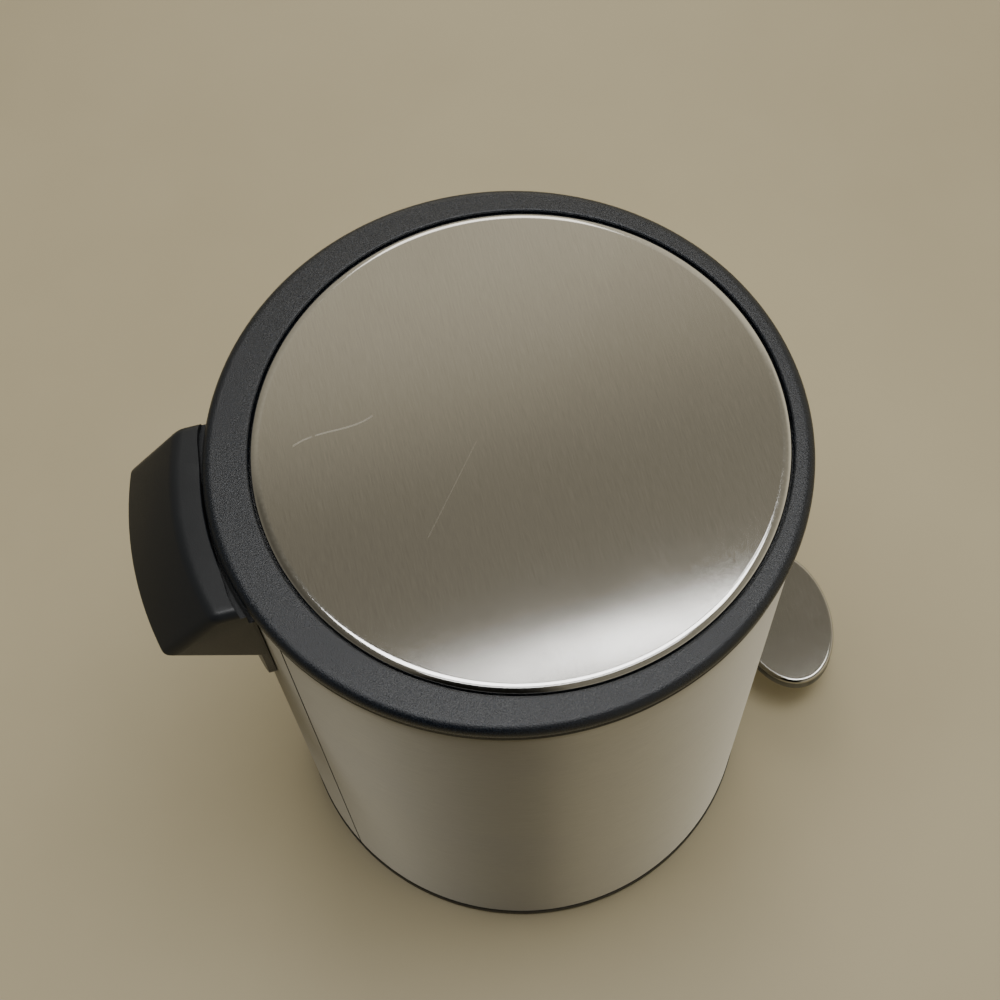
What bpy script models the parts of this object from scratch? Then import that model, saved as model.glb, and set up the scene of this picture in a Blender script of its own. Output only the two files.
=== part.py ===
"""Small round pedal bin: steel body, black plastic lid ring with a steel disc, rear grip,
inner bucket, and the pedal, lever and push rod that open the lid.

Frame: Z up, the floor at z = 0, the pedal toward -Y, the hinge and the grip toward +Y.
Every helper takes millimetres, measured from the body's own centre line; the empty
"bin_centre" then moves the whole bin so that the world origin is under the middle of it.
"""
from math import asin, atan2, cos, degrees, hypot, pi, radians, sin

import bmesh
import bpy
from mathutils import Vector

MM = 0.001
GAP = 0.3                      # clearance between neighbouring pieces

# ---- driving dimensions, mm --------------------------------------------------------------
HEIGHT = 275.0                 # floor to the top of the lid ring
LID_R = 105.0                  # outside of the lid ring
BODY_R = 103.6                 # outside of the steel body
SHEET = 0.7                    # thickness of the body's steel
DISC_R = 92.5                  # steel disc in the lid
DISC_Y = -4.5                  # the disc sits off centre, toward the pedal
FOOT_H = 7.0                   # black foot that shows under the steel
PEDAL_TIP = 153.6              # centre line to the pedal's tip
GRIP_TIP = 135.5               # centre line to the grip's lip
SEAM_ANGLE = 118.7             # where the body's sheet is joined, degrees from +X

# ---- lid hinge, push rod and pedal -------------------------------------------------------
HINGE_Y, HINGE_Z = 97.5, HEIGHT - 6.0
LID_SWING = 75.0               # how far the lid opens, degrees
ROD_Y = 88.5                   # the push rod stands here, in front of the hinge
ROD_R = 1.6
LID_ARM = (HINGE_Y - ROD_Y) / cos(radians(LID_SWING / 2))
ROD_LIFT = 2 * LID_ARM * sin(radians(LID_SWING / 2))
PIVOT_Y, PIVOT_Z = -12.0, 14.5
ROD_ARM = hypot(ROD_Y - PIVOT_Y, ROD_LIFT / 2)
PEDAL_SWING = degrees(2 * asin(ROD_LIFT / 2 / ROD_ARM))
ROD_TOP_Z = HINGE_Z - ROD_LIFT / 2
ROD_LOW_Z = PIVOT_Z - ROD_LIFT / 2

BUCKET_Z = (36.0, 244.0)       # underside of the bucket and top of its rim
BAIL_Z = BUCKET_Z[1] + 3.0     # pivots of the bucket's wire handle

CENTRE_Y = (PEDAL_TIP - GRIP_TIP) / 2
SEG = 60                       # sides of the large round pieces


# ---- scene, materials and placing --------------------------------------------------------
for old in list(bpy.data.objects):
    bpy.data.objects.remove(old)

scene = bpy.context.scene.collection


def material(name, colour, roughness, metallic=0.0):
    mat = bpy.data.materials.new(name)
    mat.use_nodes = True
    shader = mat.node_tree.nodes["Principled BSDF"]
    shader.inputs["Base Color"].default_value = (*colour, 1.0)
    shader.inputs["Roughness"].default_value = roughness
    shader.inputs["Metallic"].default_value = metallic
    return mat


STEEL = material("brushed_steel", (0.56, 0.54, 0.51), 0.34, 1.0)
BRIGHT = material("bright_steel", (0.66, 0.65, 0.63), 0.25, 1.0)
GRAINED = material("grained_black_plastic", (0.026, 0.027, 0.030), 0.55)
SATIN = material("satin_black_plastic", (0.020, 0.021, 0.023), 0.42)
LINER = material("dark_grey_plastic", (0.050, 0.051, 0.054), 0.50)
RUBBER = material("black_rubber", (0.015, 0.015, 0.016), 0.80)


def empty(name, place, parent=None):
    """An empty at a place given in mm; the moving bodies hang from empties on their axes."""
    point = bpy.data.objects.new(name, None)
    point.empty_display_size = 0.02
    point.location = Vector(place) * MM
    point.parent = parent
    scene.objects.link(point)
    return point


centre = empty("bin_centre", (0, CENTRE_Y, 0))
LID = empty("lid_axis", (0, HINGE_Y, HINGE_Z), centre)
PEDAL = empty("pedal_axis", (0, PIVOT_Y, PIVOT_Z), centre)
ROD = empty("rod_axis", (0, ROD_Y, ROD_LOW_Z), centre)
BUCKET = empty("bucket_axis", (0, 0, 0), centre)
BAIL = empty("bail_axis", (0, 0, BAIL_Z), BUCKET)
BODY = centre


def offset_of(parent):
    """Where a parent's axis stands, measured from the bin's centre line."""
    total = Vector((0, 0, 0))
    while parent is not None and parent is not centre:
        total += parent.location
        parent = parent.parent
    return total


def add(name, mesh_or_curve, parent, mat=None):
    obj = bpy.data.objects.new(name, mesh_or_curve)
    obj.parent = parent
    obj.location = -offset_of(parent)
    scene.objects.link(obj)
    if mat is None:
        obj.hide_render = True
        obj.display_type = 'WIRE'
    else:
        obj.data.materials.append(mat)
    return obj


def from_bmesh(name, bm, parent, mat=None, sharp=35):
    bmesh.ops.recalc_face_normals(bm, faces=bm.faces)
    mesh = bpy.data.meshes.new(name)
    bm.to_mesh(mesh)
    bm.free()
    mesh.shade_smooth()
    mesh.set_sharp_from_angle(angle=radians(sharp))
    return add(name, mesh, parent, mat)


# ---- shapes ------------------------------------------------------------------------------
def arc(cy, cz, r, start, end, steps):
    """Points on an arc in the plane of a profile, from one angle to another, in degrees."""
    turn = [radians(start + (end - start) * i / steps) for i in range(steps + 1)]
    return [(cy + r * cos(a), cz + r * sin(a)) for a in turn]


def round_point(r, turn, shift):
    return r * cos(turn), shift + r * sin(turn)


def turned(name, profile, parent, mat=None, start=0.0, sweep=360.0, segments=SEG,
           outline=round_point):
    """A closed profile of (radius, z[, shift in y]) points turned about the centre line.
    A radius of 0 makes a pole. Less than a full turn is closed with flat ends."""
    bm = bmesh.new()
    full = sweep >= 360.0
    count = segments if full else segments + 1
    columns = []
    poles = {}
    for i in range(count):
        turn = radians(start + sweep * i / segments)
        column = []
        for k, (r, z, *shift) in enumerate(profile):
            if r == 0 and k in poles:
                column.append(poles[k])
                continue
            x, y = outline(r, turn, shift[0] if shift else 0.0)
            vert = bm.verts.new(Vector((x, y, z)) * MM)
            if r == 0:
                poles[k] = vert
            column.append(vert)
        columns.append(column)
    for i in range(segments):
        here, there = columns[i], columns[(i + 1) % count]
        for k in range(len(profile)):
            m = (k + 1) % len(profile)
            corners = []
            for vert in (here[k], here[m], there[m], there[k]):
                if vert not in corners:
                    corners.append(vert)
            if len(corners) > 2:
                bm.faces.new(corners)
    if not full:
        bm.faces.new(columns[0])
        bm.faces.new(columns[-1])
    return from_bmesh(name, bm, parent, mat)


AXES = {'x': lambda u, v, w: (w, u, v), 'y': lambda u, v, w: (u, w, v), 'z': lambda u, v, w: (u, v, w)}


def extruded(name, outline, low, high, parent, mat=None, along='x', sharp=35):
    """A flat outline pushed from low to high along an axis: (y, z) along x, (x, z) along y,
    (x, y) along z."""
    bm = bmesh.new()
    ends = [[bm.verts.new(Vector(AXES[along](u, v, w)) * MM) for u, v in outline]
            for w in (low, high)]
    bm.faces.new(ends[0])
    bm.faces.new(ends[1])
    for i in range(len(outline)):
        j = (i + 1) % len(outline)
        bm.faces.new((ends[0][i], ends[0][j], ends[1][j], ends[1][i]))
    return from_bmesh(name, bm, parent, mat, sharp)


def box(name, x, y, z, parent, mat=None):
    corners = [(x[0], y[0]), (x[1], y[0]), (x[1], y[1]), (x[0], y[1])]
    return extruded(name, corners, z[0], z[1], parent, mat, along='z')


def rod(name, u, v, r, low, high, parent, mat=None, along='x', sides=16):
    return extruded(name, arc(u, v, r, 0, 360 - 360 / sides, sides - 1), low, high, parent, mat, along)


def tube(name, u, v, inner, outer, low, high, parent, mat, along='x', sides=12):
    sleeve = rod(name, u, v, outer, low, high, parent, mat, along, sides)
    cut(sleeve, rod(name + "_bore", u, v, inner, low - 1, high + 1, parent, along=along, sides=sides))
    return sleeve


def combine(obj, other, operation):
    step = obj.modifiers.new(other.name, 'BOOLEAN')
    step.object = other
    step.operation = operation
    step.solver = 'EXACT'


def cut(obj, *cutters):
    for cutter in cutters:
        combine(obj, cutter, 'DIFFERENCE')


def join(obj, *others):
    for other in others:
        combine(obj, other, 'UNION')


def trim(obj, keep):
    combine(obj, keep, 'INTERSECT')


def screw(name, u, v, head, tip, head_r, shank_r, parent, along='z'):
    """A pan-head screw along an axis, from the face under its head to its tip."""
    way = 1 if tip > head else -1
    shank = rod(name, u, v, shank_r, head, tip, parent, BRIGHT, along, sides=12)
    top = rod(name + "_head", u, v, head_r, head - way * 1.8, head + way * 0.2, parent, along=along)
    join(shank, top)
    return shank


def wire(name, points, r, parent, mat):
    """A round bar that follows a line of points, with flat ends."""
    curve = bpy.data.curves.new(name, 'CURVE')
    curve.dimensions = '3D'
    curve.bevel_depth = r * MM
    curve.bevel_resolution = 2
    curve.use_fill_caps = True
    spline = curve.splines.new('POLY')
    spline.points.add(len(points) - 1)
    for point, place in zip(spline.points, points):
        point.co = (*(Vector(place) * MM), 1.0)
    return add(name, curve, parent, mat)


# ---- body --------------------------------------------------------------------------------
SHELL_TOP = 267.0
SHELL_LOW = FOOT_H + GAP
INSIDE_R = BODY_R - SHEET
NOTCH_X = 36.0                 # half width of the notch behind the lid, under the grip
NOTCH_Z = 261.5
SLOT_X = 10.5                  # half width of the pedal's slot
GRIP_X = 37.8
SCREW_X, SCREW_Z = 20.0, 244.0


def make_outer_shell():
    shell = turned("outer_shell", [(BODY_R, SHELL_TOP), (INSIDE_R, SHELL_TOP), (INSIDE_R, SHELL_LOW),
                                   (BODY_R, SHELL_LOW)], BODY, STEEL, segments=72)
    notch = box("shell_notch", (-NOTCH_X, NOTCH_X), (60, 120), (NOTCH_Z, 280), BODY)
    corner = 3.0
    slot_low, slot_high = 10.0, 33.0
    ends = [(SLOT_X - corner, slot_high - corner, 0), (corner - SLOT_X, slot_high - corner, 90),
            (corner - SLOT_X, slot_low + corner, 180), (SLOT_X - corner, slot_low + corner, 270)]
    outline = [p for cx, cz, a in ends for p in arc(cx, cz, corner, a, a + 90, 4)]
    slot = extruded("shell_pedal_slot", outline, -120, -80, BODY, along='y')
    holes = [rod(f"shell_screw_hole_{n}", x, SCREW_Z, 2.3, 60, 120, BODY, along='y')
             for n, x in enumerate((-SCREW_X, SCREW_X), 1)]
    seam = box("shell_seam", (-0.25, 0.25), (BODY_R - 0.35, BODY_R + 2), (0, 280), BODY)
    seam.rotation_euler.z = radians(SEAM_ANGLE - 90)
    cut(shell, notch, slot, *holes, seam)


COLLAR_IN = 99.8
COLLAR_LOW = 250.0
COLLAR_TOP = 270.0


def make_top_collar():
    """The plastic ring that finishes the body's top edge and keeps the bucket's rim central.
    It stops either side of the hinge."""
    gap_angle = degrees(asin((NOTCH_X + 0.6) / COLLAR_IN))
    skirt_r = INSIDE_R - GAP
    profile = [(104.6, SHELL_TOP + GAP), (104.6, COLLAR_TOP - 0.6), (104.0, COLLAR_TOP),
               (COLLAR_IN, COLLAR_TOP), (COLLAR_IN, COLLAR_LOW), (skirt_r, COLLAR_LOW),
               (skirt_r, SHELL_TOP + GAP)]
    turned("top_collar", profile, BODY, SATIN, start=90 + gap_angle, sweep=360 - 2 * gap_angle,
           segments=48)


FLOOR_LOW, FLOOR_TOP = 2.6, 4.6
BRACKET_SCREW_X = 18.0


def make_base_pan():
    """The moulded bottom: foot rim, floor, the upstand that the steel fits over, and four
    posts that the bucket stands on."""
    upstand_r = INSIDE_R - GAP
    profile = [(0, FLOOR_TOP), (100.0, FLOOR_TOP), (100.0, 18), (upstand_r, 18), (upstand_r, FOOT_H),
               (104.0, FOOT_H), (104.0, 0.8), (96.0, 0.8), (95.0, FLOOR_LOW), (0, FLOOR_LOW)]
    pan = turned("base_pan", profile, BODY, SATIN, segments=48)
    gate = box("pan_pedal_gate", (-SLOT_X - 1.5, SLOT_X + 1.5), (-115, -90), (9.0, 25), BODY)
    holes = [rod(f"pan_screw_hole_{n}", x, PIVOT_Y, 1.8, 0, 9, BODY, along='z', sides=12)
             for n, x in enumerate((-BRACKET_SCREW_X, BRACKET_SCREW_X), 1)]
    cut(pan, gate, *holes)
    for n, (x, y) in enumerate(((-48, -48), (48, -48), (-48, 48), (48, 48)), 1):
        join(pan, rod(f"pan_post_{n}", x, y, 5.0, FLOOR_LOW + 1, BUCKET_Z[0] - GAP, BODY, along='z',
                      sides=16))


def make_foot_pads():
    for n in range(4):
        turn = radians(45 + 90 * n)
        rod(f"foot_pad_{n + 1}", 85 * cos(turn), 85 * sin(turn), 8, 0, FLOOR_LOW - GAP, BODY, RUBBER,
            along='z', sides=20)


LUG_X = (9.0, 14.0)            # the bracket's lugs, either side of the push rod
KNUCKLE_X = (15.0, 21.0)       # the lid's knuckles, outside the lugs
PIN_R = 1.25
PLATE_R = (99.9, INSIDE_R - GAP)


def make_hinge_bracket():
    """The plate clamped inside the body at the back, with two lugs that hold the hinge pin."""
    half = degrees(asin(30 / PLATE_R[0]))
    plate = turned("hinge_bracket", [(PLATE_R[1], 261), (PLATE_R[0], 261), (PLATE_R[0], 234),
                                     (PLATE_R[1], 234)], BODY, SATIN, start=90 - half,
                   sweep=2 * half, segments=16)
    eye = arc(HINGE_Y, HINGE_Z, 3.0, 0, 180, 8)
    outline = eye + [(94.5, 250), (101.3, 240), (101.3, 261), (99.0, 261), (99.0, 266.6)]
    for n, side in enumerate((-1, 1), 1):
        low, high = sorted((side * LUG_X[0], side * LUG_X[1]))
        join(plate, extruded(f"bracket_lug_{n}", outline, low, high, BODY))
        cut(plate, rod(f"bracket_hole_{n}", side * SCREW_X, SCREW_Z, 2.3, 90, 110, BODY, along='y',
                       sides=12))
    cut(plate, rod("bracket_pin_hole", HINGE_Y, HINGE_Z, PIN_R + GAP, -30, 30, BODY, sides=12))


GRIP_WALL = 2.4
FLANGE_R = (104.0, 106.6)
GRIP_TOP = HEIGHT - 5.5


def make_rear_grip():
    """The wedge at the back: it covers the hinge and its open underside takes the fingers."""
    half = 24.0
    lip_z = HEIGHT - 26.0
    section = [(FLANGE_R[0], 206), (FLANGE_R[1], 206), (FLANGE_R[1], 228)]
    section += [(GRIP_TIP - 1.2, lip_z - 1.4)]
    section += arc(GRIP_TIP - 1.0, lip_z, 1.0, -30, 45, 3)
    section += arc(114.4, GRIP_TOP - 3.0, 3.0, 45, 90, 4)
    section += [(106.4, GRIP_TOP), (106.4, NOTCH_Z - 0.3)]
    section += [(FLANGE_R[0], NOTCH_Z - 0.3)]
    grip = turned("rear_grip", section, BODY, SATIN, start=90 - half, sweep=2 * half, segments=16)
    trim(grip, box("grip_width", (-GRIP_X, GRIP_X), (60, 160), (200, 280), BODY))
    roof, inner_r = GRIP_TOP - GRIP_WALL, FLANGE_R[1] - 0.4
    space = [(inner_r, 200), (inner_r, NOTCH_Z), (105.0, NOTCH_Z), (105.0, roof - 2.7)]
    space += [(107.8, roof - 2.7), (111.6, roof), (113.4, roof), (GRIP_TIP - 3.0, lip_z - 1.0)]
    space += [(GRIP_TIP - 3.0, 200)]
    hollow = turned("grip_hollow", space, BODY, start=89 - half, sweep=2 * half + 2, segments=16)
    inner_x = GRIP_X - GRIP_WALL
    trim(hollow, box("grip_hollow_width", (-inner_x, inner_x), (60, 160), (190, 290), BODY))
    cut(grip, hollow)
    for n, side in enumerate((-1, 1), 1):
        x = side * SCREW_X
        join(grip, rod(f"grip_boss_{n}", x, SCREW_Z, 4.5, 104.0, 107.6, BODY, along='y'))
        cut(grip, rod(f"grip_screw_hole_{n}", x, SCREW_Z, 2.2, 95, 106.9, BODY, along='y', sides=12))
        edge = GRIP_X - 8.2
        corner = [(side * edge, 204), (side * 40, 204), (side * 40, 214.2)]
        corner += [(side * x, z) for x, z in arc(edge, 214.2, 8.3, 0, -90, 6)]
        cut(grip, extruded(f"grip_corner_{n}", corner, 90, 112, BODY, along='y'))
        # the ends of the top's inner edge step back, so that the lid's rear edge swings past
        reach = [(22.5, 99), (22.5, 104.2), (30, 103.6), (34, 103.0), (39, 102.0), (39, 99)]
        outline = [(side * x, y) for x, y in reach]
        cut(grip, extruded(f"grip_reach_{n}", outline, GRIP_TOP - 2.6, 272, BODY, along='z'))
    for n, side in enumerate((-1, 1), 1):
        name = "grip_screw_left" if side < 0 else "grip_screw_right"
        screw(name, side * SCREW_X, SCREW_Z, 96.5, 106.5, 3.4, 1.9, BODY, along='y')


def make_rod_guide():
    guide = box("rod_guide", (-7, 7), (84.8, 102.2), (140, 152), BODY, SATIN)
    cut(guide, rod("guide_bore", 0, ROD_Y, ROD_R + 0.5, 130, 160, BODY, along='z'))


AXLE_R = 2.0
CHEEK_X = (11.5, 13.5)


def make_pedal_bracket():
    """The saddle on the bottom that carries the pedal's axle, with its screws and clips."""
    foot, top, wing = FLOOR_TOP + GAP, PIVOT_Z + 5, 23.0
    step = foot + 2.0
    half = [(wing, foot), (wing, step), (CHEEK_X[1], step), (CHEEK_X[1], top), (CHEEK_X[0], top),
            (CHEEK_X[0], step)]
    outline = half + [(-x, z) for x, z in reversed(half)]
    saddle = extruded("pedal_bracket", outline, PIVOT_Y - 7, PIVOT_Y + 7, BODY, SATIN, along='y')
    cut(saddle, rod("bracket_axle_hole", PIVOT_Y, PIVOT_Z, AXLE_R + GAP, -20, 20, BODY))
    for n, side in enumerate((-1, 1), 1):
        x = side * BRACKET_SCREW_X
        cut(saddle, rod(f"saddle_hole_{n}", x, PIVOT_Y, 1.8, 0, 12, BODY, along='z', sides=12))
        screw(f"bracket_screw_{n}", x, PIVOT_Y, step + GAP, 3.0, 3.2, 1.5, BODY)
        clip = sorted((side * (CHEEK_X[1] + 0.5), side * (CHEEK_X[1] + 1.6)))
        name = "axle_clip_left" if side < 0 else "axle_clip_right"
        tube(name, PIVOT_Y, PIVOT_Z, AXLE_R + GAP, 4.0, *clip, BODY, BRIGHT)
    rod("pedal_axle", PIVOT_Y, PIVOT_Z, AXLE_R, -16.5, 16.5, BODY, BRIGHT)


# ---- lid ---------------------------------------------------------------------------------
PLATE_Z = HEIGHT - 2.5         # underside of the ring's top
SHELF_Z = (268.2, 270.2)       # shelf under the disc's edge
SHELF_R = 86.0
LINER_Z = (266.1, 267.9)
LEVER_SCREW = (12.0, 85.0)
EAR_X = (4.0, 6.5)


def liner_screw_places():
    return [(88.8 * cos(radians(a)), DISC_Y + 88.8 * sin(radians(a))) for a in (35, 145, 225, 315)]


def make_lid_ring():
    edge = arc(LID_R - 3.5, HEIGHT - 3.5, 3.5, 0, 90, 4)
    lip = arc(95.0, HEIGHT - 1.6, 1.6, 90, 180, 2)
    profile = [(LID_R, HEIGHT - 4.4)] + edge
    profile += [(r, z, DISC_Y) for r, z in lip]
    profile += [(93.4, SHELF_Z[1], DISC_Y), (SHELF_R, SHELF_Z[1], DISC_Y), (SHELF_R, SHELF_Z[0], DISC_Y),
                (94.6, SHELF_Z[0], DISC_Y), (94.6, PLATE_Z, DISC_Y), (102.2, PLATE_Z),
                (102.2, HEIGHT - 4.4)]
    ring = turned("lid_ring", profile, LID, GRAINED)
    knuckle = arc(HINGE_Y, HINGE_Z, 3.2, -180, 0, 8)
    knuckle += [(HINGE_Y + 3.2, PLATE_Z + 1), (HINGE_Y - 3.2, PLATE_Z + 1)]
    for n, side in enumerate((-1, 1), 1):
        low, high = sorted((side * KNUCKLE_X[0], side * KNUCKLE_X[1]))
        join(ring, extruded(f"lid_knuckle_{n}", knuckle, low, high, LID))
    cut(ring, rod("lid_pin_hole", HINGE_Y, HINGE_Z, PIN_R + GAP, -30, 30, LID, sides=12))
    holes = liner_screw_places() + [(-LEVER_SCREW[0], LEVER_SCREW[1]), LEVER_SCREW]
    for n, (x, y) in enumerate(holes, 1):
        cut(ring, rod(f"shelf_hole_{n}", x, y, 1.4, 266, 271.0, LID, along='z', sides=8))


def make_lid_disc():
    top, sheet, corner = HEIGHT + 0.3, 0.8, 2.0
    low = SHELF_Z[1] + 0.4
    outer = arc(DISC_R - corner, top - corner, corner, 90, 0, 3)
    inner = arc(DISC_R - corner, top - corner, corner - sheet, 0, 90, 1)
    profile = [(0, top)] + outer + [(DISC_R, low), (DISC_R - sheet, low)] + inner + [(0, top - sheet)]
    turned("lid_disc", [(r, z, DISC_Y) for r, z in profile], LID, STEEL)


def make_lid_liner():
    """The flat inner cover under the lid, and its screws."""
    profile = [(0, LINER_Z[1]), (92.8, LINER_Z[1]), (92.8, LINER_Z[0]), (0, LINER_Z[0])]
    liner = turned("lid_liner", [(r, z, DISC_Y) for r, z in profile], LID, LINER, segments=48)
    cut(liner, box("liner_back", (-60, 60), (78, 100), (260, 275), LID))
    for n, (x, y) in enumerate(liner_screw_places(), 1):
        cut(liner, rod(f"liner_hole_{n}", x, y, 1.4, 262, 270, LID, along='z', sides=8))
        screw(f"liner_screw_{n}", x, y, LINER_Z[0] - GAP, 269.8, 3.0, 1.1, LID)


def make_lid_lever():
    """The bracket under the back of the ring; the push rod's bent end works in its slot."""
    plate = box("lid_lever", (-16, 16), (79.5, 90), LINER_Z, LID, BRIGHT)
    slot_r = ROD_R + 0.35
    way = atan2(HINGE_Z - ROD_TOP_Z, HINGE_Y - ROD_Y)
    run = LID_ARM * (1 - cos(radians(LID_SWING / 2)))
    far = (ROD_Y + run * cos(way), ROD_TOP_Z + run * sin(way))
    turn = degrees(way)
    ear = [(82.5, 267), (82.5, 263)] + arc(ROD_Y, ROD_TOP_Z, 4.4, 190, 290, 5)
    ear += [(94.5, 262.0), (94.5, 267)]
    join(plate, extruded("lever_ear", ear, *EAR_X, LID))
    slot = arc(*far, slot_r, turn - 90, turn + 90, 6)
    slot += arc(ROD_Y, ROD_TOP_Z, slot_r, turn + 90, turn + 270, 6)
    cut(plate, extruded("lever_slot", slot, EAR_X[0] - 2, EAR_X[1] + 2, LID),
        box("lever_clip_relief", (EAR_X[1] + 0.001, EAR_X[1] + 2.2), (85, 92), (264, 266.9), LID))
    for n, side in enumerate((-1, 1), 1):
        x, y = side * LEVER_SCREW[0], LEVER_SCREW[1]
        cut(plate, rod(f"lever_hole_{n}", x, y, 1.4, 262, 270, LID, along='z', sides=8))
        screw(f"lever_screw_{n}", x, y, LINER_Z[0] - GAP, 269.8, 3.0, 1.1, LID)


def make_lid_bumpers():
    for n, angle in enumerate((-90, -20, 200), 1):
        x, y = 101.0 * cos(radians(angle)), 101.0 * sin(radians(angle))
        rod(f"lid_bumper_{n}", x, y, 1.0, COLLAR_TOP + GAP, PLATE_Z - GAP, LID, RUBBER, along='z',
            sides=12)


# ---- pedal -------------------------------------------------------------------------------
BAR_Z = (3.5, 5.5)             # the lever's bar over its pivot
PAD_B = 35.0                   # half width of the pad
PAD_A = 22.9                   # half depth of the pad
PAD_Y = -PEDAL_TIP + PAD_A
STUD_Y = (PAD_Y + 9, PAD_Y - 7)
LUG_SIDE = (6.0, 8.0)


def tilt(obj):
    """The lever is drawn level about its pivot; shut, it stands with its front end raised."""
    for step in [obj] + [m.object for m in obj.modifiers if m.type == 'BOOLEAN']:
        if step.parent is not PEDAL:
            continue
        step.rotation_euler.x = radians(-PEDAL_SWING / 2)
        step.location = (0, 0, 0)


def make_pedal_lever():
    """Drawn about its own pivot: y and z are measured from the axle."""
    front = PAD_Y - 11 - PIVOT_Y
    bar = box("pedal_lever", (-8, 8), (front, ROD_ARM - 16), BAR_Z, PEDAL, BRIGHT)
    ear = arc(0, 0, 4.2, 180, 360, 8) + [(4.2, BAR_Z[1] - 0.5), (-4.2, BAR_Z[1] - 0.5)]
    for n, (low, high) in enumerate(((-8, -6), (6, 8)), 1):
        join(bar, extruded(f"lever_pivot_ear_{n}", ear, low, high, PEDAL))
    hook = [(ROD_ARM - 34, BAR_Z[1]), (ROD_ARM - 34, BAR_Z[0]), (ROD_ARM - 10, -2.6)]
    hook += arc(ROD_ARM, 0, 2.9, -65, 65, 5) + [(ROD_ARM - 8, BAR_Z[1])]
    join(bar, extruded("lever_hook", hook, *LUG_SIDE, PEDAL))
    cut(bar, rod("lever_axle_hole", 0, 0, AXLE_R + GAP, -12, 12, PEDAL),
        rod("lever_rod_hole", ROD_ARM, 0, ROD_R + 0.45, 4, 10, PEDAL, sides=12))
    for n, y in enumerate(STUD_Y, 1):
        cut(bar, rod(f"lever_stud_hole_{n}", 0, y - PIVOT_Y, 2.3, 0, 9, PEDAL, along='z', sides=12))
    tilt(bar)


def make_pedal_pad():
    """The pressed steel footplate: an oval cap with a turned-down edge and two welded studs."""
    low = BAR_Z[1] + GAP
    sheet, corner, depth = 1.2, 1.6, 8.0
    top = low + sheet
    y0 = PAD_Y - PIVOT_Y

    def oval(inset, turn, _shift):
        if inset == 0:
            return 0.0, y0
        return (PAD_B + inset) * cos(turn), y0 + (PAD_A + inset) * sin(turn)

    edge = arc(-corner, top - corner, corner, 90, 0, 3)
    edge[-1] = (-0.001, top - corner)
    inner = arc(-corner, top - corner, corner - sheet, 0, 90, 1)
    profile = [(0, top)] + edge + [(-0.001, top - depth), (-sheet, top - depth)] + inner + [(0, low)]
    pad = turned("pedal_pad", profile, PEDAL, STEEL, outline=oval, segments=48)
    for n, y in enumerate(STUD_Y, 1):
        join(pad, rod(f"pad_stud_{n}", 0, y - PIVOT_Y, 2.0, 0.2, low + 0.4, PEDAL, along='z', sides=12))
    cut(pad, box("pad_gate", (-9.5, 9.5), (y0 + 10, y0 + 30), (top - 12, low - 0.001), PEDAL))
    tilt(pad)
    for n, y in enumerate(STUD_Y, 1):
        nut = tube(f"pad_nut_{n}", 0, y - PIVOT_Y, 2.3, 3.9, BAR_Z[0] - 2.7, BAR_Z[0] - GAP, PEDAL, BRIGHT,
                   along='z', sides=6)
        tilt(nut)


# ---- push rod ----------------------------------------------------------------------------
def make_push_rod():
    bend = 3.0
    low = [(10.5, ROD_LOW_Z)] + arc(bend, ROD_LOW_Z + bend, bend, 270, 180, 4)
    high = arc(bend, ROD_TOP_Z - bend, bend, 180, 90, 4) + [(9.5, ROD_TOP_Z)]
    wire("push_rod", [(x, ROD_Y, z) for x, z in low + high], ROD_R, ROD, BRIGHT)
    tube("rod_clip_top", ROD_Y, ROD_TOP_Z, ROD_R + GAP, 3.0, EAR_X[1] + 0.5, EAR_X[1] + 1.7, ROD, LINER)
    tube("rod_clip_low", ROD_Y, ROD_LOW_Z, ROD_R + GAP, 2.7, LUG_SIDE[1] + 0.5, LUG_SIDE[1] + 1.7, ROD,
         LINER)


# ---- bucket ------------------------------------------------------------------------------
BUCKET_R = (92.0, 87.0)        # outside, at the rim and at the bottom
BUCKET_BACK = 82.0             # flat back that leaves room for the push rod
BUCKET_WALL = 1.6
RIM_R = 98.0
BAIL_R = 94.2


def make_inner_bucket():
    foot, rim_top = BUCKET_Z
    rim_low = rim_top - 2.0
    top_r, low_r = BUCKET_R
    profile = [(0, rim_top), (RIM_R, rim_top), (RIM_R, rim_low), (top_r, rim_low), (low_r, foot + 3),
               (low_r - 3, foot), (0, foot)]
    bucket = turned("inner_bucket", profile, BUCKET, LINER, segments=48)
    cut(bucket, box("bucket_back", (-80, 80), (BUCKET_BACK, 120), (20, 270), BUCKET))
    w = BUCKET_WALL
    slope = (top_r - low_r) / (rim_low - foot - 3)
    mouth = top_r - w + slope * 10
    profile = [(0, rim_low + 10), (mouth, rim_low + 10), (low_r - w, foot + 4),
               (low_r - w - 2.5, foot + w), (0, foot + w)]
    space = turned("bucket_space", profile, BUCKET, segments=48)
    cut(space, box("bucket_space_back", (-80, 80), (BUCKET_BACK - w, 120), (20, 280), BUCKET))
    cut(bucket, space)
    ear = arc(0, BAIL_Z, 3.4, 0, 180, 8) + [(-4.5, rim_top - 1.5), (4.5, rim_top - 1.5)]
    for n, side in enumerate((-1, 1), 1):
        low, high = sorted((side * (BAIL_R - 4.1), side * (BAIL_R - 1.7)))
        join(bucket, extruded(f"bucket_ear_{n}", ear, low, high, BUCKET))
    cut(bucket, rod("bucket_ear_hole", 0, BAIL_Z, 1.6, -100, 100, BUCKET, sides=12))


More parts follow.
